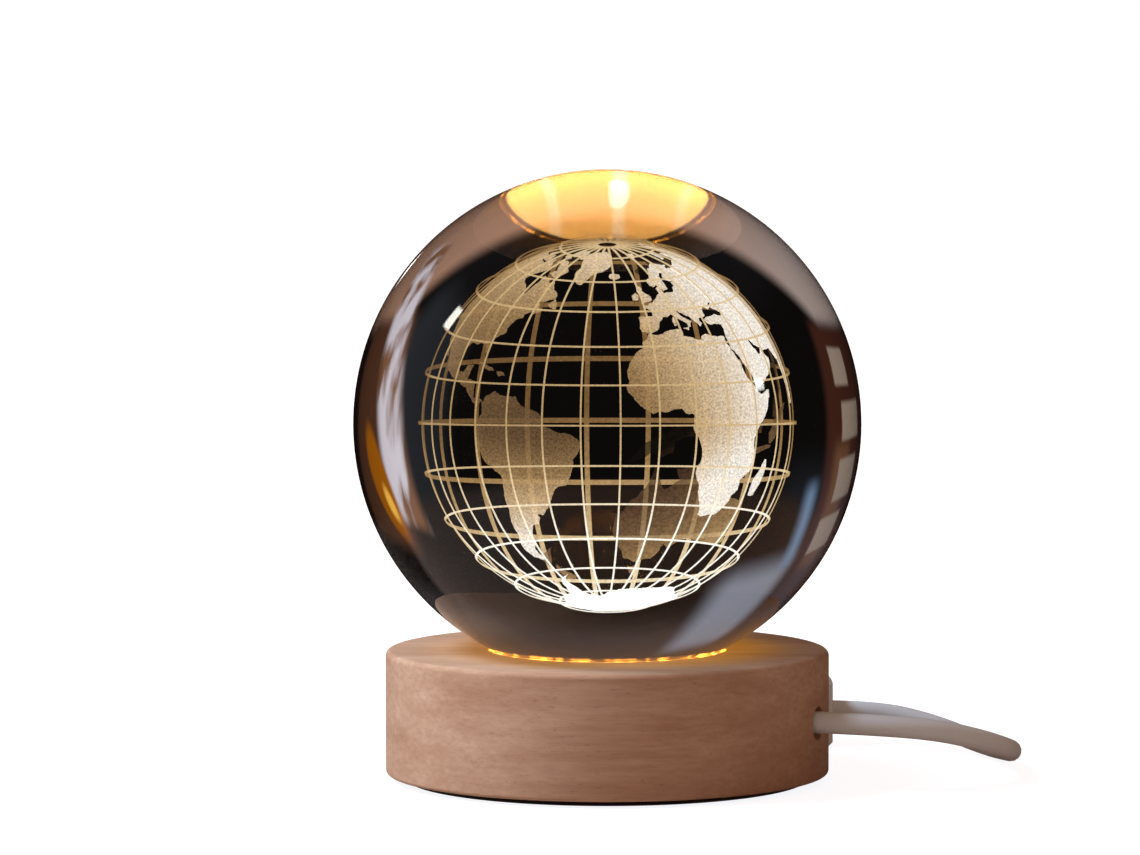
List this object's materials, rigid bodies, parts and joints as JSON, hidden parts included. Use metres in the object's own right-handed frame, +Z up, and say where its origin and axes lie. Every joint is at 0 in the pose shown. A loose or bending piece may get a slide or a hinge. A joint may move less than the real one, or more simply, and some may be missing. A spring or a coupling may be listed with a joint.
{
  "type": "crystal ball lamp",
  "caption": "Glass ball with a world map engraved inside it, resting in a lit round wooden base with a switched USB lead put away in a coil.",
  "frame": {"origin": "middle of the underside of the non-slip pad, on the surface that the lamp stands on", "axes": "+Z up along the axis of the base and the ball; -Y is the front, where the picture was taken from; +X is to the right, where the lead leaves, 20 degrees towards the front"},
  "size_m": [0.1062, 0.1574, 0.0961],
  "materials": {
    "beech": "satin",
    "foam_pad": "matt",
    "circuit_board": "solder mask",
    "light_body": "matt",
    "phosphor": "gloss",
    "resistor": "gloss",
    "steel_screw": "plated",
    "solder": "bright",
    "red_insulation": "satin",
    "black_insulation": "satin",
    "white_nylon": "satin",
    "white_jacket": "satin",
    "strap": "matt",
    "white_plastic": "satin",
    "grey_rocker": "satin",
    "brass_contact": "plated",
    "plug_steel": "nickel plated",
    "crystal": "polished",
    "engraving": "laser engraved, scattering"
  },
  "bodies": {
    "base": {"wooden_base": "beech", "nonslip_pad": "foam_pad", "led_board": "circuit_board", "led_packages": "light_body", "led_phosphor": "phosphor", "chip_resistors": "resistor", "board_screws": "steel_screw", "solder_joints": "solder", "red_wire": "red_insulation", "black_wire": "black_insulation", "cable_tie": "white_nylon", "cord_lead": "white_jacket", "cord_to_switch": "white_jacket", "cord_to_coil": "white_jacket", "cord_coil": "white_jacket", "cord_to_plug": "white_jacket", "coil_strap": "strap", "switch_lower_shell": "white_plastic", "switch_upper_shell": "white_plastic", "switch_contacts": "brass_contact", "switch_wires": "red_insulation", "switch_screws": "steel_screw", "usb_grip": "white_plastic", "usb_shell": "plug_steel", "usb_insulator": "white_plastic", "usb_contacts": "brass_contact"},
    "ball": {"crystal_ball": "crystal", "engraved_parallels": "engraving", "engraved_meridians": "engraving", "engraved_africa": "engraving", "engraved_europe": "engraving", "engraved_asia": "engraving", "engraved_australia": "engraving", "engraved_south_america": "engraving", "engraved_north_america": "engraving", "engraved_greenland": "engraving", "engraved_antarctica": "engraving"},
    "rocker": {"switch_rocker": "grey_rocker"}
  },
  "joints": [
    {"name": "crystal_lift", "type": "slide", "parent": "base", "child": "ball", "axis": [0, 0, 1], "range_m": [0, 0.06]},
    {"name": "rocker_tip", "type": "hinge", "parent": "base", "child": "rocker", "pos_m": [0.0174, 0.042, 0.009], "axis": [0, 1, 0], "range_deg": [0, 18]}
  ]
}
